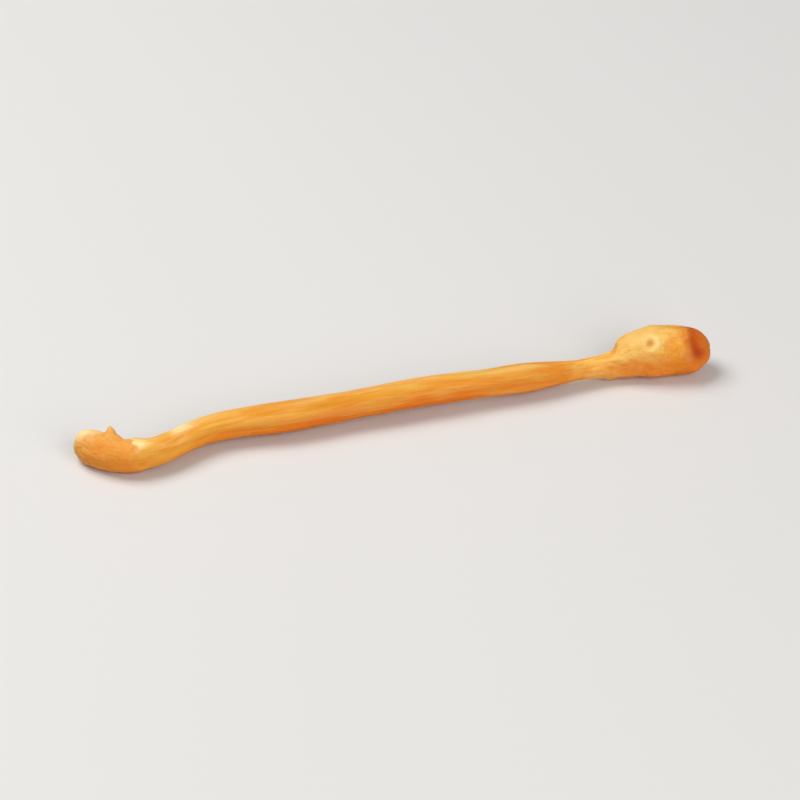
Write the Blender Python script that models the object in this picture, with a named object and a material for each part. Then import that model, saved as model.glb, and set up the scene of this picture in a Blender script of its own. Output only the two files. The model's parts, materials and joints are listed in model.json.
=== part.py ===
"""One dried cordyceps fruit body, lying on its side: a blunt torn foot, a long stalk and a club head.

It grew as one piece, so it is one solid. It is made straight along +X, ring by ring, from a radius that
depends on the distance from the foot and on the angle around, and a Curve modifier then lays it along
the bent line in which it dried. Where it touches the ground its underside is pressed flat at Z = 0.
Metres, +Z up. +X runs along the fruit body towards the head. The origin is under its middle.
"""

import math

import bmesh
import bpy
from mathutils import Vector

MM = 0.001

# Driving sizes, in millimetres, measured along the fruit body from the tip of the foot.
LENGTH = 80.4
FOOT_ROUNDING = 1.7
HEAD_START = 68.4
HEAD_ROUNDING = 3.3

# (distance from the foot's tip, radius): the main swellings and waists of the fruit body.
GIRTH = (
    (0.0, 1.75),
    (3.4, 2.12),
    (7.2, 2.1),
    (9.6, 1.8),
    (16.5, 1.7),
    (26.5, 1.93),
    (36.0, 1.78),
    (45.0, 1.84),
    (50.5, 1.7),
    (56.5, 1.8),
    (63.5, 1.26),
    (66.2, 1.28),
    (68.0, 1.5),
    (70.8, 2.62),
    (73.2, 3.22),
    (77.0, 3.04),
    (80.4, 2.85),
)

# The head sits off the stalk's middle line, so that it bulges up and to the back: (Y, Z).
HEAD_SHIFT = (0.6, 1.0)
HEAD_SHIFT_START = 67.2
HEAD_SHIFT_END = 71.4

# The bent line that the stalk dried in: (X, Y, Z) of each Bezier point, foot first.
DRIED_LINE = (
    (-39.05, 1.35, 1.8),
    (-32.5, -2.85, 2.1),
    (-22.6, -0.05, 2.15),
    (-13.1, 0.05, 2.35),
    (3.9, 0.65, 2.6),
    (19.9, 0.95, 2.2),
    (28.9, 1.5, 1.95),
    (39.9, -0.55, 1.95),
)

# How much wider than round the section is, and the angle around at which it is widest, in degrees.
# Angles around are 0 on top and 90 at the front.
FLATTENING = 0.04
WIDEST_ANGLE = 100

# The long furrows: each set is (number around, share of the depth, how far it follows the wander, start),
# and the wander is a sum of waves, each (reach in radians, wavelength, start).
FURROW_DEPTH = 0.09
FURROW_SETS = ((3, 0.6, 3.0, 0.0), (5, 0.4, -2.0, 1.0))
FURROW_WANDER = ((0.5, 69.0, 0.0), (0.3, 29.5, 1.0))

# Local mounds of the skin, hollows where the height is below zero:
# (height, distance from the foot's tip, angle around, half-size along, half-size around).
NUB = (0.95, 4.4, -34, 0.85, 0.8)
FOOT_LIP = (0.22, 1.2, -10, 1.0, 1.4)
FOOT_WAIST = (-0.25, 6.6, -36, 1.4, 1.6)
TORN_SKIN_EDGE = (0.2, 7.8, -10, 0.7, 2.2)
NECK_FLARE = (0.46, HEAD_START + 1.2, 140, 3.0, 1.7)
HEAD_SHOULDER = (0.36, HEAD_START + 1.0, -34, 0.9, 1.9)
SUNKEN_TIP = (-0.5, LENGTH - 1.7, 40, 1.3, 1.7)
MOUNDS = (NUB, FOOT_LIP, FOOT_WAIST, TORN_SKIN_EDGE, NECK_FLARE, HEAD_SHOULDER, SUNKEN_TIP)
LEAST_RADIUS = 0.5  # near the tips a mound spreads as if the body were at least this thick

# The dried flesh's look.
FLESH_COLOUR = (0.80, 0.36, 0.075, 1.0)
FLESH_ROUGHNESS = 0.55

# How finely it is built.
SIDES = 24
RING_SPACING = 0.85
FINE_RING_SPACING = 0.43  # where the neck swells into the head
FINE_START = HEAD_START - 2
FINE_END = HEAD_START + 4
END_RINGS = 6
LINE_STEPS = 32
GROUND_SIZE = 120.0
GROUND_THICKNESS = 4.0


def smooth_between(points, at):
    """The value at a distance, on a smooth line through the points with no overshoot."""
    if at <= points[0][0]:
        return points[0][1]
    for (start, low), (end, high) in zip(points, points[1:]):
        if at <= end:
            share = (at - start) / (end - start)
            return low + (high - low) * share * share * (3 - 2 * share)
    return points[-1][1]


def rounded_end(distance, rounding):
    """1 on the body, falling to 0 at the very tip along a quarter of an ellipse."""
    share = min(1.0, max(0.0, distance / rounding))
    return math.sqrt(1 - (1 - share) ** 2)


def mound(along, around, radius, form):
    """The height of one of the MOUNDS at a place on the skin: a soft bell over its centre."""
    height, centre, angle, long, wide = form
    turn = (around - math.radians(angle) + math.pi) % math.tau - math.pi
    off = ((along - centre) / long) ** 2 + (turn * max(radius, LEAST_RADIUS) / wide) ** 2
    return height * math.exp(-off)


def furrows(along, around):
    """Shallow furrows that wander round the stalk as they run along it, from -1 to 1."""
    wander = sum(reach * math.sin(math.tau * along / wave + start) for reach, wave, start in FURROW_WANDER)
    return sum(
        share * math.cos(count * around + follow * wander + start)
        for count, share, follow, start in FURROW_SETS
    )


def skin_radius(along, around):
    """Distance from the middle line to the skin, at a distance and an angle around in radians."""
    radius = smooth_between(GIRTH, along)
    shape = 1 + FLATTENING * math.cos(2 * (around - math.radians(WIDEST_ANGLE)))
    skin = radius * shape - FURROW_DEPTH * furrows(along, around)
    skin += sum(mound(along, around, radius, form) for form in MOUNDS)
    ends = rounded_end(along, FOOT_ROUNDING) * rounded_end(LENGTH - along, HEAD_ROUNDING)
    return skin * ends


def spaced(start, end, spacing):
    """Distances from the start up to the end, which is left out, at about the spacing."""
    count = round((end - start) / spacing)
    return [start + (end - start) * i / count for i in range(count)]


def ring_distances():
    """Where the rings stand: evenly along the body, and closer together at the head's start and the ends."""
    depths = [1 - math.cos(math.pi / 2 * i / END_RINGS) for i in range(1, END_RINGS)]
    foot = [FOOT_ROUNDING * depth for depth in depths]
    head = [LENGTH - HEAD_ROUNDING * depth for depth in depths]
    stalk = spaced(FOOT_ROUNDING, FINE_START, RING_SPACING)
    swelling = spaced(FINE_START, FINE_END, FINE_RING_SPACING)
    club = spaced(FINE_END, LENGTH - HEAD_ROUNDING, RING_SPACING)
    return foot + stalk + swelling + club + [LENGTH - HEAD_ROUNDING] + head[::-1]


def middle(along):
    """The middle of the section at a distance: on the stalk's line, and shifted off it in the head."""
    share = smooth_between(((HEAD_SHIFT_START, 0.0), (HEAD_SHIFT_END, 1.0)), along)
    return Vector((along, HEAD_SHIFT[0] * share, HEAD_SHIFT[1] * share))


def add_ring(mesh, along):
    """One ring of the skin, as new vertices in order around."""
    ring = []
    for i in range(SIDES):
        around = math.tau * i / SIDES
        radius = skin_radius(along, around)
        place = middle(along) + Vector((0, -radius * math.sin(around), radius * math.cos(around)))
        ring.append(mesh.verts.new(place * MM))
    return ring


def straight_body():
    """The closed skin of the fruit body, straight along +X."""
    mesh = bmesh.new()
    rings = [add_ring(mesh, along) for along in ring_distances()]
    for near, far in zip(rings, rings[1:]):
        for i in range(SIDES):
            j = (i + 1) % SIDES
            mesh.faces.new((near[i], near[j], far[j], far[i]))
    for along, ring in ((0.0, rings[0]), (LENGTH, rings[-1])):
        tip = mesh.verts.new(middle(along) * MM)
        for i in range(SIDES):
            mesh.faces.new((tip, ring[i], ring[(i + 1) % SIDES]))
    bmesh.ops.recalc_face_normals(mesh, faces=mesh.faces)
    data = bpy.data.meshes.new("fruit_body")
    mesh.to_mesh(data)
    mesh.free()
    data.shade_smooth()
    return data


def dried_line():
    """The guide curve that the straight body is laid along."""
    curve = bpy.data.curves.new("dried_line", "CURVE")
    curve.dimensions = "3D"
    curve.twist_mode = "Z_UP"
    curve.resolution_u = LINE_STEPS
    line = curve.splines.new("BEZIER")
    line.bezier_points.add(len(DRIED_LINE) - 1)
    for point, place in zip(line.bezier_points, DRIED_LINE):
        point.co = Vector(place) * MM
        point.handle_left_type = "AUTO"
        point.handle_right_type = "AUTO"
    guide = bpy.data.objects.new("dried_line", curve)
    guide.hide_render = True
    guide.display_type = "WIRE"
    return guide


def ground_block():
    """The cutter whose top is the ground: it presses the underside flat where the body rests."""
    mesh = bmesh.new()
    bmesh.ops.create_cube(mesh, size=1)
    size = Vector((GROUND_SIZE, GROUND_SIZE, GROUND_THICKNESS)) * MM
    bmesh.ops.scale(mesh, vec=size, verts=mesh.verts)
    bmesh.ops.translate(mesh, vec=(0, 0, -size.z / 2), verts=mesh.verts)
    data = bpy.data.meshes.new("ground")
    mesh.to_mesh(data)
    mesh.free()
    ground = bpy.data.objects.new("ground", data)
    ground.hide_render = True
    ground.display_type = "WIRE"
    return ground


def dried_flesh():
    """Yellow-orange, dull, and a little glossy where the skin is tight."""
    material = bpy.data.materials.new("dried_flesh")
    material.use_nodes = True
    shader = material.node_tree.nodes["Principled BSDF"]
    shader.inputs["Base Color"].default_value = FLESH_COLOUR
    shader.inputs["Roughness"].default_value = FLESH_ROUGHNESS
    shader.inputs["Metallic"].default_value = 0.0
    return material


def main():
    for old in list(bpy.data.objects):
        bpy.data.objects.remove(old)
    guide, ground = dried_line(), ground_block()
    body = bpy.data.objects.new("fruit_body", straight_body())
    body.data.materials.append(dried_flesh())
    for item in (guide, ground, body):
        bpy.context.scene.collection.objects.link(item)
    bend = body.modifiers.new("bend", "CURVE")
    bend.object = guide
    bend.deform_axis = "POS_X"
    press = body.modifiers.new("press", "BOOLEAN")
    press.operation = "DIFFERENCE"
    press.object = ground


main()
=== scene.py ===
import json
import math

import bpy
import numpy as np
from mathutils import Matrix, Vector

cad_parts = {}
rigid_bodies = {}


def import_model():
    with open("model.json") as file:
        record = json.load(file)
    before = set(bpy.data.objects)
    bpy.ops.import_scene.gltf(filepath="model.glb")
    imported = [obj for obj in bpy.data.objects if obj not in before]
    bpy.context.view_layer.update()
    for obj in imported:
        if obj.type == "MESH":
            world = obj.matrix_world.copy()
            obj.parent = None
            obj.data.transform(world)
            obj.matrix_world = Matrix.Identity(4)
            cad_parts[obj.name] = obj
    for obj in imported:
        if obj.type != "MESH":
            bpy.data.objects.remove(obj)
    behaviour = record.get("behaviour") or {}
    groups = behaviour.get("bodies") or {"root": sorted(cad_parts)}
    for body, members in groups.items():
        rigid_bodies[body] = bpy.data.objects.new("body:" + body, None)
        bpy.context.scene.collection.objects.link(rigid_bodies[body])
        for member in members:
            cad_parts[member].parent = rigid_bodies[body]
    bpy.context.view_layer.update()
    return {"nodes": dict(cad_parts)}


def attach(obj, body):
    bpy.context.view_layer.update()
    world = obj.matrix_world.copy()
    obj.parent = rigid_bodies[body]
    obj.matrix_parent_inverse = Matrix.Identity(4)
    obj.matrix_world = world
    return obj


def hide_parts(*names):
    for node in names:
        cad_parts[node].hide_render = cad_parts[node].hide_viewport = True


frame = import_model()
mm = 0.001
print("frame loaded:", sorted(frame["nodes"]))


def deselectAll():
    if bpy.context.mode != "OBJECT":
        bpy.ops.object.mode_set(mode="OBJECT")
    bpy.ops.object.select_all(action="DESELECT")


def makeActive(piece):
    deselectAll()
    piece.select_set(True)
    bpy.context.view_layer.objects.active = piece


def applyModifier(piece, modifier):
    makeActive(piece)
    bpy.ops.object.modifier_apply(modifier=modifier.name)


def smoothShare(low, high, value):
    share = np.clip((value - low) / (high - low), 0, 1)
    return share * share * (3 - 2 * share)


def smoothThrough(points, value):  # a smooth line through (place, height) points
    for (start, low), (end, high) in zip(points, points[1:]):
        if value <= end:
            return low + (high - low) * float(smoothShare(start, end, value))
    return points[-1][1]


studio = {
    "azimuth": -13.5, "elevation": 37,  # where the camera stands round the strand, in degrees
    "lens": 140, "distance": 0.374, "nearest": 0.01,
    "aim": (0.0002, 0.0004, 0.002),
    "floorSize": 3.0, "floorColour": (0.68, 0.675, 0.67), "floorRoughness": 0.6,
    "worldColour": (0.95, 0.97, 1.0), "worldLight": 0.28,
    "lamps": {  # name: (place, size, power, colour)
        "topSoftbox": ((-0.24, 0.18, 0.48), 0.34, 2.62, (1.0, 0.98, 0.95)),
        "frontFill": ((0.20, -0.50, 0.34), 0.50, 2.6, (1.0, 0.96, 0.92)),
    },
}


def setCamera():
    azimuth, elevation = math.radians(studio["azimuth"]), math.radians(studio["elevation"])
    back = Vector((
        math.sin(azimuth) * math.cos(elevation),
        -math.cos(azimuth) * math.cos(elevation),
        math.sin(elevation),
    ))
    bpy.ops.object.camera_add(location=Vector(studio["aim"]) + back * studio["distance"])
    camera = bpy.context.object
    camera.name = "studioCamera"
    camera.rotation_euler = (-back).to_track_quat("-Z", "Y").to_euler()
    camera.data.lens = studio["lens"]
    camera.data.clip_start = studio["nearest"]
    bpy.context.scene.camera = camera


def setLamps():
    for name, (place, size, power, colour) in studio["lamps"].items():
        bpy.ops.object.light_add(type="AREA", location=place)
        lamp = bpy.context.object
        lamp.name = name
        lamp.data.size = size
        lamp.data.energy = power
        lamp.data.color = colour
        lamp.rotation_euler = (-Vector(place)).to_track_quat("-Z", "Y").to_euler()
    world = bpy.data.worlds.new("studioWorld")
    world.use_nodes = True
    light = world.node_tree.nodes["Background"]
    light.inputs["Color"].default_value = (*studio["worldColour"], 1)
    light.inputs["Strength"].default_value = studio["worldLight"]
    bpy.context.scene.world = world


def layFloor():
    bpy.ops.mesh.primitive_plane_add(size=studio["floorSize"], location=(0, 0, 0))
    floor = bpy.context.object
    floor.name = "paleFloor"
    material = bpy.data.materials.new("paleFloor")
    material.use_nodes = True
    shader = material.node_tree.nodes["Principled BSDF"]
    shader.inputs["Base Color"].default_value = (*studio["floorColour"], 1)
    shader.inputs["Roughness"].default_value = studio["floorRoughness"]
    floor.data.materials.append(material)


deselectAll()
setCamera()
setLamps()
layFloor()
bpy.context.scene.view_settings.view_transform = "Standard"
print("camera, lamps and floor set")


# the fruit body is grown straight along +X and then bent; its sizes are in millimetres, distances are
# from the foot's tip, and angles go round from 0 on top to 90 at the front
fruitBody = {
    "length": 80.4, "sides": 32, "ringGap": 0.5, "fineRingGap": 0.38,
    "footRounding": 1.7, "headRounding": 3.3, "endRings": 7,
    "leastRadius": 0.4,  # angles count at this radius or more, which keeps marks round at the tips
    "girth": (  # distance, radius
        (0.0, 1.75), (3.4, 2.1), (7.2, 2.08), (9.6, 1.78), (16.5, 1.68), (26.5, 1.9), (36.0, 1.76),
        (45.0, 1.82), (50.5, 1.68), (56.5, 1.78), (63.5, 1.24), (66.2, 1.26), (68.0, 1.48), (70.8, 2.58),
        (73.2, 3.14), (77.0, 2.98), (80.4, 2.8),
    ),
    "headShift": (0.6, 1.0),  # the head sits this far back and up off the stalk's line
    "shiftPoints": ((67.2, 0.0), (71.4, 1.0)),
    "fineZones": ((0.0, 9.0), (67.0, 80.4)),  # where the rings stand closer
    "lineSteps": 32,
    "line": (  # the line it dried in, x, y and z
        (-39.05, 1.35, 1.8), (-32.5, -2.85, 2.1), (-22.6, -0.05, 2.15), (-13.1, 0.05, 2.35),
        (3.9, 0.65, 2.6), (19.9, 0.95, 2.2), (28.9, 1.5, 1.95), (39.9, -0.55, 1.95),
    ),
}


def middleAt(along):
    share = smoothThrough(fruitBody["shiftPoints"], along)
    back, up = fruitBody["headShift"]
    return Vector((along, back * share, up * share))


def endShare(distance, rounding):
    share = min(1.0, max(0.0, distance / rounding))
    return math.sqrt(1 - (1 - share) ** 2)


def radiusAt(along):
    foot = endShare(along, fruitBody["footRounding"])
    head = endShare(fruitBody["length"] - along, fruitBody["headRounding"])
    return smoothThrough(fruitBody["girth"], along) * foot * head


def ringPlaces():
    length, rings = fruitBody["length"], fruitBody["endRings"]
    turns = [math.pi / 2 * i / rings for i in range(1, rings)]
    foot = [fruitBody["footRounding"] * (1 - math.cos(turn)) for turn in turns]
    head = [length - fruitBody["headRounding"] * (1 - math.cos(turn)) for turn in turns]
    along = fruitBody["footRounding"]
    places = []
    while along < length - fruitBody["headRounding"] - fruitBody["fineRingGap"] / 2:
        places.append(along)
        fine = any(start <= along < end for start, end in fruitBody["fineZones"])
        along += fruitBody["fineRingGap"] if fine else fruitBody["ringGap"]
    return foot + places + [length - fruitBody["headRounding"]] + head[::-1]


def growStraight():
    places = ringPlaces()
    bpy.ops.mesh.primitive_circle_add(
        vertices=fruitBody["sides"], radius=radiusAt(places[0]) * mm, fill_type="TRIFAN",
        location=middleAt(places[0]) * mm, rotation=(0, math.pi / 2, 0),
    )
    piece = bpy.context.object
    piece.name = "fruitBody"
    bpy.ops.object.transform_apply(location=True, rotation=True, scale=True)
    bpy.ops.object.mode_set(mode="EDIT")
    bpy.ops.mesh.select_all(action="SELECT")
    for last, along in zip(places, places[1:]):  # one extrusion for each ring
        step = middleAt(along) - middleAt(last)
        growth = radiusAt(along) / radiusAt(last)
        bpy.ops.mesh.extrude_region_move(TRANSFORM_OT_translate={"value": step * mm})
        bpy.ops.transform.resize(value=(1, growth, growth), center_override=middleAt(along) * mm)
    bpy.ops.mesh.select_all(action="SELECT")
    bpy.ops.mesh.normals_make_consistent(inside=False)
    bpy.ops.object.mode_set(mode="OBJECT")
    return piece


def subdivide(piece, levels):
    smoother = piece.modifiers.new("smoother", "SUBSURF")
    smoother.levels = levels
    smoother.render_levels = levels
    applyModifier(piece, smoother)


def readPlaces(piece):
    flat = np.empty(len(piece.data.vertices) * 3, np.float32)
    piece.data.vertices.foreach_get("co", flat)
    return flat.reshape(-1, 3) / mm


def readSkin(piece):  # distance along, angle around (0 on top, a quarter turn at the front) and radius
    places = readPlaces(piece)
    (start, _), (end, _) = fruitBody["shiftPoints"]
    share = smoothShare(start, end, places[:, 0])
    side = places[:, 1] - fruitBody["headShift"][0] * share
    up = places[:, 2] - fruitBody["headShift"][1] * share
    return places[:, 0], np.arctan2(-side, up), np.hypot(side, up)


def meanOf(texture):  # pushing from a texture's mean keeps the skin's mean girth
    seed, reach, count = 4, 0.05, 600
    points = np.random.default_rng(seed).uniform(-reach, reach, (count, 3))
    return float(np.mean([texture.evaluate(point)[3] for point in points.tolist()]))


def pushSkin(piece, name, height, weights, texture=None, stretch=1.0):
    # raises the skin by height where the weights are 1, by a texture stretched along the strand
    # if there is one
    leastWeight = 0.002
    group = piece.vertex_groups.new(name=name)
    for index in np.flatnonzero(weights > leastWeight).tolist():
        group.add([index], float(min(1.0, weights[index])), "REPLACE")
    push = piece.modifiers.new(name, "DISPLACE")
    push.vertex_group = name
    push.strength = height * mm
    push.mid_level = meanOf(texture) if texture else 0.0
    if texture:
        ruler = bpy.data.objects.new("ruler", None)
        ruler.scale = (stretch, 1, 1)
        bpy.context.scene.collection.objects.link(ruler)
        push.texture = texture
        push.texture_coords = "OBJECT"
        push.texture_coords_object = ruler
    applyModifier(piece, push)
    piece.vertex_groups.remove(piece.vertex_groups[name])
    if texture:
        bpy.data.objects.remove(ruler)


def turnFrom(angle, around):  # the turn from an angle, half a turn at most either way
    return (around - math.radians(angle) + math.pi) % math.tau - math.pi


def spot(skin, along, angle, long, wide):  # a soft round patch of skin
    distance, around, radius = skin
    turn = turnFrom(angle, around)
    aside = turn * np.maximum(radius, fruitBody["leastRadius"])
    return np.exp(-((distance - along) / long) ** 2 - (aside / wide) ** 2)


def makeTexture(name, kind, size, detail):
    # creased clouds have sharp valleys, grains are round and packed close
    texture = bpy.data.textures.new(name, "VORONOI" if kind == "grains" else "CLOUDS")
    texture.noise_scale = size * mm
    if kind == "grains":
        texture.weight_1 = -1.0
    else:
        texture.noise_depth = detail
        texture.noise_type = "HARD_NOISE" if kind == "creased" else "SOFT_NOISE"
    return texture


skinForms = {
    "lumps": {"height": 0.26, "kind": "soft", "size": 3.0, "detail": 2, "stretch": 2.4},
    "mounds": {  # on the coarse skin: height, distance, angle, half-size along, half-size around
        "nub": (0.70, 4.3, -34, 0.42, 0.44),
        "nubSkirt": (0.40, 4.9, -33, 1.1, 0.9),
        "footLip": (0.22, 1.2, -10, 1.0, 1.4),
        "footWaist": (-0.25, 6.6, -36, 1.3, 1.5),
        "neckFlare": (0.46, 69.6, 140, 3.0, 1.7),
        "shoulder": (0.38, 69.4, -34, 0.9, 1.9),
        "sunkenTip": (-0.34, 78.9, 36, 1.2, 1.7),
    },
    "marks": {  # on the fine skin, in the same order
        "thorn": (0.30, 4.1, -34, 0.22, 0.24),
        "notch": (-0.26, 68.35, -34, 0.36, 1.3),  # the shoulder overhangs the neck
    },
    "scar": {
        "along": 72.5, "angle": 36, "ring": 0.96, "ringWidth": 0.33, "height": 0.15,
        "tipward": 0.4,  # how much stronger the ring is towards the head's end
        "pit": -0.22, "pitSize": 0.38, "paleWidth": 0.396, "leastReach": 0.1,
    },
    "fold": {  # a crescent where the head's tip has sunk in: (distance back from its end, angle)
        # stain and foldStainAndShadeStart size the fold's colour mark, partly red colour and partly
        # painted shade in the fold
        "height": -0.20, "size": 0.50, "foldStainAndShade": 0.98, "foldStainAndShadeStart": 0.6, "patches": 40,
        "places": ((2.3, -20), (2.3, 6), (2.2, 30), (2.1, 48), (1.85, 62)),
    },
    "tornEdge": {  # where the stalk's skin begins, raggedly, most of all on its upper back
        "along": 7.7, "height": 0.15, "fade": (0.2, 3.2), "step": (-0.11, 0.09),
        "angle": -20, "facing": (-0.2, 0.7), "leastHeight": 0.25,
        "waves": (  # number around, height, start
            (1, 0.30, 0.4), (2, 0.22, 2.6), (3, 0.16, 5.1), (5, 0.10, 2.0),
            (8, 0.08, 4.4), (13, 0.06, 0.9), (19, 0.05, 3.3), (29, 0.04, 1.7),
        ),
    },
    "paleNub": 0.6,  # how pale the nub is
    "reliefRange": 0.12,  # the height or depth that counts as a full ridge or crease
}

skinZones = {  # where each zone of skin begins to fade in, is full, begins to fade out and is gone
    "foot": (-2.0, -1.0, 7.4, 8.4),
    "stalk": (7.2, 8.6, 67.4, 71.4),
    "neck": (57.0, 63.0, 68.6, 71.8),
    "club": (68.4, 71.4, 90.0, 91.0),
}

skinTextures = {  # height, zone, kind, size, detail, how far it is stretched along the strand
    "furrows": (0.42, "stalk", "creased", 1.7, 1, 11),
    "pleats": (0.22, "neck", "creased", 0.7, 1, 8),
    "wrinkles": (0.18, "stalk", "soft", 0.45, 3, 9),
    "threads": (0.10, "stalk", "soft", 0.2, 2, 14),
    "clubDents": (0.32, "club", "soft", 2.3, 1, 1.5),
    "clubCreases": (0.14, "club", "creased", 1.1, 2, 2.2),
    "clubSkin": (0.09, "club", "soft", 0.4, 3, 1.3),
    "clubGrains": (0.10, "club", "grains", 0.34, 0, 1.0),
    "footLumps": (0.26, "foot", "soft", 1.0, 2, 1.6),
    "footCreases": (0.16, "foot", "creased", 0.6, 2, 2.0),
    "footCrumbs": (0.12, "foot", "soft", 0.25, 3, 1.2),
}


def zoneOf(skin, name):
    start, full, fade, gone = skinZones[name]
    return smoothShare(start, full, skin[0]) * (1 - smoothShare(fade, gone, skin[0]))


def foldWeights(skin, size, start=1.0):  # start is the weight at the crease's upper end
    form = skinForms["fold"]
    corners = range(len(form["places"]))
    steps = np.linspace(0, corners[-1], form["patches"])
    backs = np.interp(steps, corners, [back for back, _ in form["places"]])
    angles = np.interp(steps, corners, [angle for _, angle in form["places"]])
    weights = np.zeros_like(skin[0])
    strengths = np.linspace(start, 1.0, len(steps))
    for back, angle, strength in zip(backs, angles, strengths):
        patch = spot(skin, fruitBody["length"] - back, angle, size, size)
        weights = np.maximum(weights, strength * patch)
    return weights


def scarRingWeights(skin, width):  # a soft ring on the skin, stronger towards the head's end
    distance, around, radius = skin
    scar = skinForms["scar"]
    turn = turnFrom(scar["angle"], around)
    reach = np.hypot(distance - scar["along"], turn * np.maximum(radius, fruitBody["leastRadius"]))
    tipward = (distance - scar["along"]) / np.maximum(reach, scar["leastReach"])
    facing = 1 - scar["tipward"] + scar["tipward"] * tipward
    return facing * np.exp(-((reach - scar["ring"]) / width) ** 2)


def scarPitWeights(skin):
    scar = skinForms["scar"]
    return spot(skin, scar["along"], scar["angle"], scar["pitSize"], scar["pitSize"])


def tornEdgeWeights(skin):
    form = skinForms["tornEdge"]
    along, around, _ = skin
    edge = form["along"] + sum(
        height * np.sin(count * around + start) for count, height, start in form["waves"]
    )
    facing = smoothShare(*form["facing"], np.cos(around - math.radians(form["angle"])))
    upper = form["leastHeight"] + (1 - form["leastHeight"]) * facing
    begin, full = form["step"]
    fadeStart, fadeEnd = form["fade"]
    raised = smoothShare(edge + begin, edge + full, along)
    return raised * (1 - smoothShare(edge + fadeStart, edge + fadeEnd, along)) * upper


def shapeFeatures(piece):  # the large forms, on the coarse skin
    skin = readSkin(piece)
    for name, (height, *place) in skinForms["mounds"].items():
        pushSkin(piece, name, height, spot(skin, *place))
    lumps = skinForms["lumps"]
    texture = makeTexture("lumps", lumps["kind"], lumps["size"], lumps["detail"])
    pushSkin(piece, "lumps", lumps["height"], np.ones_like(skin[0]), texture, lumps["stretch"])
    print("  large forms done")


def shapeSkin(piece):  # the fine forms
    skin = readSkin(piece)
    for name, (height, zone, kind, size, detail, stretch) in skinTextures.items():
        texture = makeTexture(name, kind, size, detail)
        pushSkin(piece, name, height, zoneOf(skin, zone), texture, stretch)
    for name, (height, *place) in skinForms["marks"].items():
        pushSkin(piece, name, height, spot(skin, *place))
    pushSkin(piece, "tornEdge", skinForms["tornEdge"]["height"], tornEdgeWeights(skin))
    scar, fold = skinForms["scar"], skinForms["fold"]
    pushSkin(piece, "scarRing", scar["height"], scarRingWeights(skin, scar["ringWidth"]))
    pushSkin(piece, "scarPit", scar["pit"], scarPitWeights(skin))
    pushSkin(piece, "fold", fold["height"], foldWeights(skin, fold["size"]))
    print("  skin done")


def readNormals(piece):
    flat = np.empty(len(piece.data.vertices) * 3, np.float32)
    piece.data.vertex_normals.foreach_get("vector", flat)
    return flat.reshape(-1, 3)


def meanAlong(along, values):  # the mean of the values over each millimetre of length
    edges = np.arange(0, fruitBody["length"] + 2, 1.0)
    slot = np.clip(np.digitize(along, edges) - 1, 0, len(edges) - 2)
    total = np.bincount(slot, values, len(edges) - 1)
    count = np.maximum(np.bincount(slot, minlength=len(edges) - 1), 1)
    return edges[:-1] + 0.5, total / count


def keepAttribute(piece, name, kind, field, values):
    attribute = piece.data.attributes.new(name, kind, "POINT")
    attribute.data.foreach_set(field, np.ascontiguousarray(values, np.float32).ravel())


def keepStraight(piece, smoothPlaces, smoothNormals):
    # what the material needs to know of the skin, kept before the bend
    skin = readSkin(piece)
    along, around, _ = skin
    places = readPlaces(piece)
    sides = np.stack((along / fruitBody["length"], -np.sin(around), np.cos(around)), axis=1)
    relief = ((places - smoothPlaces) * smoothNormals).sum(axis=1)
    relief = relief - np.interp(along, *meanAlong(along, relief))
    scar, fold = skinForms["scar"], skinForms["fold"]
    _, *nub = skinForms["mounds"]["nub"]
    creamMarks = np.maximum(
        scarRingWeights(skin, scar["paleWidth"]), skinForms["paleNub"] * spot(skin, *nub)
    )
    # the fold's mark is partly its own red colour and partly painted shade inside the fold
    foldStainAndShade = foldWeights(skin, fold["foldStainAndShade"], fold["foldStainAndShadeStart"])
    marks = np.stack((foldStainAndShade, creamMarks, scarPitWeights(skin)), axis=1)
    keepAttribute(piece, "straightPlace", "FLOAT_VECTOR", "vector", places)
    keepAttribute(piece, "skinSide", "FLOAT_VECTOR", "vector", sides)
    keepAttribute(piece, "skinMarks", "FLOAT_VECTOR", "vector", marks)
    keepAttribute(piece, "relief", "FLOAT", "value", np.clip(relief / skinForms["reliefRange"], -1, 1))


def bendLine():
    curve = bpy.data.curves.new("driedLine", "CURVE")
    curve.dimensions = "3D"
    curve.twist_mode = "Z_UP"
    curve.resolution_u = fruitBody["lineSteps"]
    spline = curve.splines.new("BEZIER")
    spline.bezier_points.add(len(fruitBody["line"]) - 1)
    for point, place in zip(spline.bezier_points, fruitBody["line"]):
        point.co = Vector(place) * mm
        point.handle_left_type = "AUTO"
        point.handle_right_type = "AUTO"
    guide = bpy.data.objects.new("driedLine", curve)
    bpy.context.scene.collection.objects.link(guide)
    return guide


def bendAndRest(piece):
    guide = bendLine()
    bend = piece.modifiers.new("bend", "CURVE")
    bend.object = guide
    bend.deform_axis = "POS_X"
    applyModifier(piece, bend)
    bpy.data.objects.remove(guide)
    under = readPlaces(piece)[:, 2] < 0
    piece.data.vertices.foreach_set("select", under)
    piece.data.edges.foreach_set("select", np.zeros(len(piece.data.edges), bool))
    piece.data.polygons.foreach_set("select", np.zeros(len(piece.data.polygons), bool))
    bpy.context.tool_settings.mesh_select_mode = (True, False, False)
    bpy.ops.object.mode_set(mode="EDIT")
    bpy.ops.transform.resize(value=(1, 1, 0), center_override=(0, 0, 0))  # pressed flat where it rests
    bpy.ops.object.mode_set(mode="OBJECT")
    print("  bent and pressed:", int(under.sum()), "points on the floor")


def makeFruitBody():
    piece = growStraight()
    subdivide(piece, 1)
    shapeFeatures(piece)
    subdivide(piece, 1)
    smoothPlaces, smoothNormals = readPlaces(piece), readNormals(piece)
    shapeSkin(piece)
    keepStraight(piece, smoothPlaces, smoothNormals)
    bendAndRest(piece)
    makeActive(piece)
    bpy.ops.object.shade_smooth()
    print("fruit body:", len(piece.data.polygons), "faces")
    return piece


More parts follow.
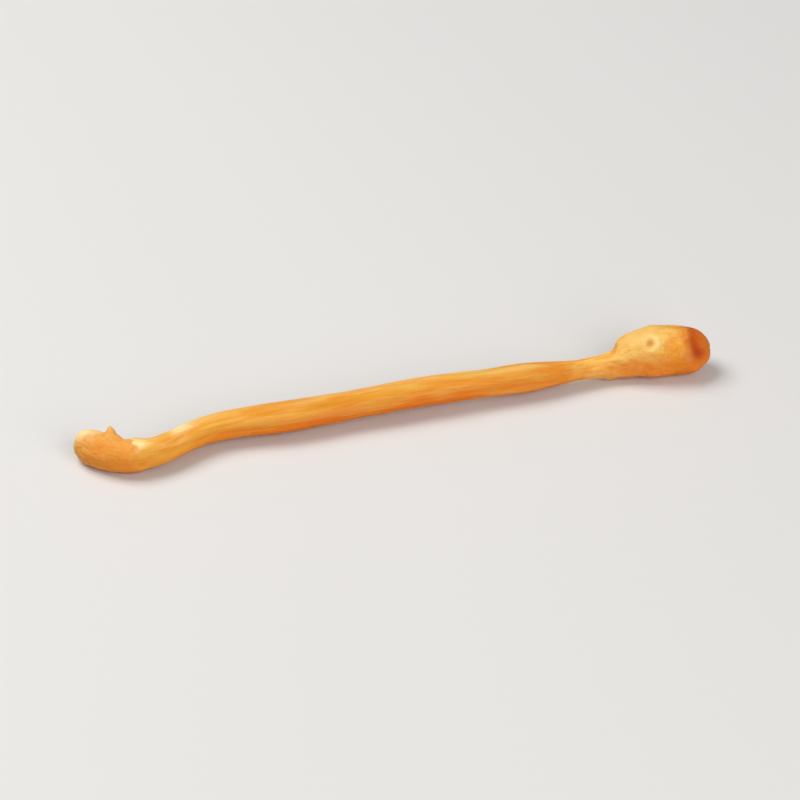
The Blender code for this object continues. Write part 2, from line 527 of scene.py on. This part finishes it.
# its material, from the attributes kept before the bend
flesh = {
    "along": (  # share of the length: colour
        (0.000, (0.78, 0.49, 0.17)), (0.012, (0.76, 0.40, 0.095)), (0.030, (0.77, 0.32, 0.050)),
        (0.093, (0.79, 0.29, 0.032)), (0.105, (0.79, 0.39, 0.046)), (0.200, (0.80, 0.36, 0.032)),
        (0.330, (0.72, 0.275, 0.012)), (0.440, (0.72, 0.325, 0.020)), (0.560, (0.77, 0.42, 0.052)),
        # the darker stretch from 0.700 to 0.760 is partly the strand's own colour and partly a painted
        # shadow of other strands lying across it
        (0.700, (0.74, 0.33, 0.036)), (0.760, (0.70, 0.29, 0.028)), (0.815, (0.92, 0.56, 0.12)),
        (0.870, (0.83, 0.48, 0.115)), (0.925, (0.82, 0.46, 0.080)), (0.945, (0.79, 0.36, 0.034)),
        (0.966, (0.68, 0.21, 0.013)), (1.000, (0.62, 0.18, 0.013)),
    ),
    "paintedLightAlong": (  # share of the length: how far its back and top are painted paler, a painted highlight
        (0.00, 0.3), (0.09, 0.3), (0.12, 0.8), (0.22, 0.5), (0.32, 0.2), (0.42, 0.75), (0.60, 0.95),
        (0.68, 0.4), (0.76, 0.5), (0.81, 0.9), (0.88, 0.8), (0.94, 0.4), (0.97, 0.0),
    ),
    "depth": (  # share of the length: how far its underside is painted deeper, a painted shade
        (0.00, 0.25), (0.20, 0.45), (0.32, 1.0), (0.74, 1.0), (0.81, 0.4), (0.87, 0.75),
        (0.92, 0.95), (1.0, 0.95),
    ),
    # deep and pale are the colours of the strand's own streaks and blotches, and also of the painted
    # shade below and in creases and the painted highlight on top and on ridges
    "deepOrangeAndShade": (0.77, 0.185, 0.004), "paleYellowAndLight": (0.90, 0.57, 0.17), "brown": (0.46, 0.18, 0.040),
    "cream": (0.98, 0.78, 0.40), "foldRedAndShade": (0.46, 0.050, 0.001), "olive": (0.46, 0.29, 0.07),
    "roughness": (0.42, 0.62), "footRoughness": 0.12, "specular": 0.2,
    "subsurface": 0.22, "subsurfaceRadius": (1.0, 0.38, 0.10), "subsurfaceScale": 0.7 * mm,
    "grainDepth": 0.12 * mm, "grainStrength": 0.6, "fibreGrain": 0.6,
    "patterns": {  # how many to a millimetre, detail, stretch along the strand, roughness
        "borders": (0.9, 3.0, 1.0, 0.5),
        "drift": (0.45, 3.0, 4.0, 0.5),
        "streaks": (1.9, 4.0, 14.0, 0.6),
        "fibres": (7.0, 3.0, 22.0, 0.65),
        "blotches": (0.8, 4.0, 1.8, 0.6),
        "earth": (1.6, 5.0, 1.3, 0.65),
        "crowding": (0.35, 2.0, 1.0, 0.5),
        "grain": (9.0, 4.0, 2.0, 0.6),
    },
    "patternSpan": (0.2, 0.8), "glossSpan": (0.3, 0.7),  # the parts of a pattern's range that are used
    "borderShift": 0.012, "driftShift": 0.6,  # how far the patterns move the borders and the edge of the painted light and shade
    "backAndTop": (0.5, 0.85),  # how much the back and the top count as upper side, the side that gets the painted light
    # where the painted shade below and the painted highlight above begin and are full
    "paintedShadeFrom": (0.40, -0.75), "paintedLightFrom": (0.3, 1.2),
    "stalkZone": (0.09, 0.12, 0.86, 0.90), "footZone": (0.085, 0.10),  # shares of the length
    "washes": (  # pattern, where it begins and is full, strength, colour, zone
        ("streaks", 0.52, 0.74, 0.13, "paleYellowAndLight", "stalk"), ("streaks", 0.48, 0.28, 0.20, "deepOrangeAndShade", "stalk"),
        ("fibres", 0.50, 0.80, 0.10, "cream", "stalk"), ("fibres", 0.50, 0.25, 0.17, "deepOrangeAndShade", "stalk"),
        ("blotches", 0.52, 0.80, 0.20, "deepOrangeAndShade", "all"),
        # the relief rows are painted shade in the creases and a painted highlight on the ridges
        ("relief", -0.05, -0.9, 0.42, "deepOrangeAndShade", "all"), ("relief", 0.1, 0.9, 0.18, "paleYellowAndLight", "all"),
        ("earth", 0.50, 0.72, 0.34, "brown", "foot"),
    ),
    # painted highlight: cream along the upper side of the foot's tip
    "footTipHighlight": {"along": (0.046, 0.008), "upper": (0.1, 0.95), "strength": 0.8},
    "skinEdge": {"along": (0.090, 0.098), "fade": (0.21, 0.16), "upper": (0.50, 1.0), "strength": 0.82},
    # the fold's red is partly its own colour and partly painted shade in the fold
    "marks": (("X", 1.0, "foldRedAndShade"), ("Y", 0.45, "cream"), ("Z", 0.62, "olive")),
    "specks": {
        "scale": 1.5, "size": (0.13, 0.05), "crowding": (0.50, 0.62),
        "footEnd": (0.12, 0.08), "elsewhere": 0.3, "onFoot": 0.8,
    },
}


def addNode(tree, kind, inputs=(), **settings):  # inputs are sockets to link from, or plain values
    node = tree.nodes.new(kind)
    for name, value in settings.items():
        setattr(node, name, value)
    for name, value in dict(inputs).items():
        if isinstance(value, bpy.types.NodeSocket):
            tree.links.new(value, node.inputs[name])
        else:
            node.inputs[name].default_value = value
    return node


def patternOf(tree, place, name):
    scale, detail, stretch, roughness = flesh["patterns"][name]
    mapping = addNode(tree, "ShaderNodeMapping", {
        "Vector": place, "Scale": (scale / stretch, scale, scale),
    })
    return addNode(tree, "ShaderNodeTexNoise", {
        "Vector": mapping.outputs["Vector"], "Scale": 1.0, "Detail": detail, "Roughness": roughness,
    }).outputs["Fac"]


def times(tree, first, second):
    return addNode(tree, "ShaderNodeMath", {0: first, 1: second}, operation="MULTIPLY").outputs[0]


def plus(tree, first, second):
    return addNode(tree, "ShaderNodeMath", {0: first, 1: second}, operation="ADD").outputs[0]


def rise(tree, value, low, high, bottom=0.0, top=1.0):
    # from bottom to top as the value goes from low to high
    return addNode(tree, "ShaderNodeMapRange", {
        "Value": value, "From Min": low, "From Max": high, "To Min": bottom, "To Max": top,
    }, interpolation_type="SMOOTHSTEP").outputs["Result"]


def tint(tree, share, colour, other):  # the colour turned towards the other by a share
    node = addNode(tree, "ShaderNodeMix", data_type="RGBA")
    for socket, value in ((node.inputs[0], share), (node.inputs[6], colour), (node.inputs[7], other)):
        if isinstance(value, bpy.types.NodeSocket):
            tree.links.new(value, socket)
        else:
            socket.default_value = value if isinstance(value, float) else (*value, 1)
    return node.outputs[2]


def rampOf(tree, share, stops):  # a colour ramp through (place, colour or value) stops
    ramp = addNode(tree, "ShaderNodeValToRGB", {"Fac": share})
    elements = ramp.color_ramp.elements
    while len(elements) < len(stops):
        elements.new(0.5)
    for element, (place, colour) in zip(elements, stops):
        element.position = place
        element.color = (*colour, 1) if isinstance(colour, tuple) else (colour, colour, colour, 1)
    return ramp.outputs["Color"]


def attributeOf(tree, name, socket="Vector"):
    return addNode(tree, "ShaderNodeAttribute", attribute_name=name).outputs[socket]


def fleshMaterial():
    material = bpy.data.materials.new("driedFlesh")
    material.use_nodes = True
    tree = material.node_tree
    shader = tree.nodes["Principled BSDF"]
    place = attributeOf(tree, "straightPlace")
    side = addNode(tree, "ShaderNodeSeparateXYZ", {"Vector": attributeOf(tree, "skinSide")}).outputs
    marks = addNode(tree, "ShaderNodeSeparateXYZ", {"Vector": attributeOf(tree, "skinMarks")}).outputs
    patterns = {name: patternOf(tree, place, name) for name in flesh["patterns"]}
    patterns["relief"] = attributeOf(tree, "relief", "Fac")

    # the colour along the strand, its borders broken up
    span, shift = flesh["patternSpan"], flesh["borderShift"]
    share = plus(tree, side["X"], rise(tree, patterns["borders"], *span, -shift, shift))
    colour = rampOf(tree, share, flesh["along"])

    # painted light and shade: paler on top and at the back, deeper below, as if lit from above and
    # behind
    back, top = flesh["backAndTop"]
    upward = plus(tree, times(tree, side["Y"], back), times(tree, side["Z"], top))
    shift = flesh["driftShift"]
    facingTheLight = plus(tree, upward, rise(tree, patterns["drift"], *span, -shift, shift))
    paintedShadeBelow = times(tree, rise(tree, facingTheLight, *flesh["paintedShadeFrom"]), rampOf(tree, share, flesh["depth"]))
    paintedLightAbove = times(tree, rise(tree, facingTheLight, *flesh["paintedLightFrom"]), rampOf(tree, share, flesh["paintedLightAlong"]))
    colour = tint(tree, paintedShadeBelow, colour, flesh["deepOrangeAndShade"])
    colour = tint(tree, paintedLightAbove, colour, flesh["paleYellowAndLight"])

    # streaks and fibres along the stalk, blotches, painted shade in the creases, a painted highlight on
    # the ridges, and the brown foot
    start, full, fade, gone = flesh["stalkZone"]
    footEnd, footGone = flesh["footZone"]
    onFoot = rise(tree, share, footGone, footEnd)
    zones = {
        "stalk": times(tree, rise(tree, share, start, full), rise(tree, share, gone, fade)),
        "foot": onFoot,
    }
    for name, low, high, strength, other, zone in flesh["washes"]:
        amount = rise(tree, patterns[name], low, high, 0.0, strength)
        if zone in zones:
            amount = times(tree, zones[zone], amount)
        colour = tint(tree, amount, colour, flesh[other])

    # a painted highlight in cream on the upper side of the foot's tip, and a cream edge where the
    # stalk's skin begins
    tipHighlight = flesh["footTipHighlight"]
    amount = times(tree, rise(tree, share, *tipHighlight["along"]), rise(tree, upward, *tipHighlight["upper"]))
    colour = tint(tree, times(tree, amount, tipHighlight["strength"]), colour, flesh["cream"])
    edge = flesh["skinEdge"]
    amount = times(tree, rise(tree, share, *edge["along"]), rise(tree, share, *edge["fade"]))
    amount = times(tree, amount, rise(tree, facingTheLight, *edge["upper"]))
    colour = tint(tree, times(tree, amount, edge["strength"]), colour, flesh["cream"])

    # the sunken fold, its red partly painted shade in the fold, the ring scar and the nub, and the
    # scar's pit
    for axis, strength, other in flesh["marks"]:
        colour = tint(tree, times(tree, marks[axis], strength), colour, flesh[other])

    # small dark specks
    specks = flesh["specks"]
    cells = addNode(tree, "ShaderNodeTexVoronoi", {"Vector": place, "Scale": specks["scale"]})
    crowd = rise(tree, patterns["crowding"], *specks["crowding"])
    dots = times(tree, rise(tree, cells.outputs["Distance"], *specks["size"]), crowd)
    amount = rise(tree, share, *specks["footEnd"], specks["elsewhere"], specks["onFoot"])
    colour = tint(tree, times(tree, dots, amount), colour, flesh["brown"])
    tree.links.new(colour, shader.inputs["Base Color"])

    # duller where streaks and blotches are strong, and on the foot
    gloss = plus(tree, times(tree, patterns["streaks"], 0.5), times(tree, patterns["blotches"], 0.5))
    rough = rise(tree, gloss, *flesh["glossSpan"], *flesh["roughness"])
    rough = plus(tree, rough, times(tree, onFoot, flesh["footRoughness"]))
    tree.links.new(rough, shader.inputs["Roughness"])

    # grain too fine for the mesh
    grain = plus(tree, times(tree, patterns["fibres"], flesh["fibreGrain"]), patterns["grain"])
    bump = addNode(tree, "ShaderNodeBump", {
        "Strength": flesh["grainStrength"], "Distance": flesh["grainDepth"], "Height": grain,
    })
    tree.links.new(bump.outputs["Normal"], shader.inputs["Normal"])
    shader.inputs["Specular IOR Level"].default_value = flesh["specular"]
    shader.inputs["Subsurface Weight"].default_value = flesh["subsurface"]
    shader.inputs["Subsurface Radius"].default_value = flesh["subsurfaceRadius"]
    shader.inputs["Subsurface Scale"].default_value = flesh["subsurfaceScale"]
    return material


deselectAll()
strand = makeFruitBody()
strand.data.materials.append(fleshMaterial())
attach(strand, "root")
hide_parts("fruit_body")
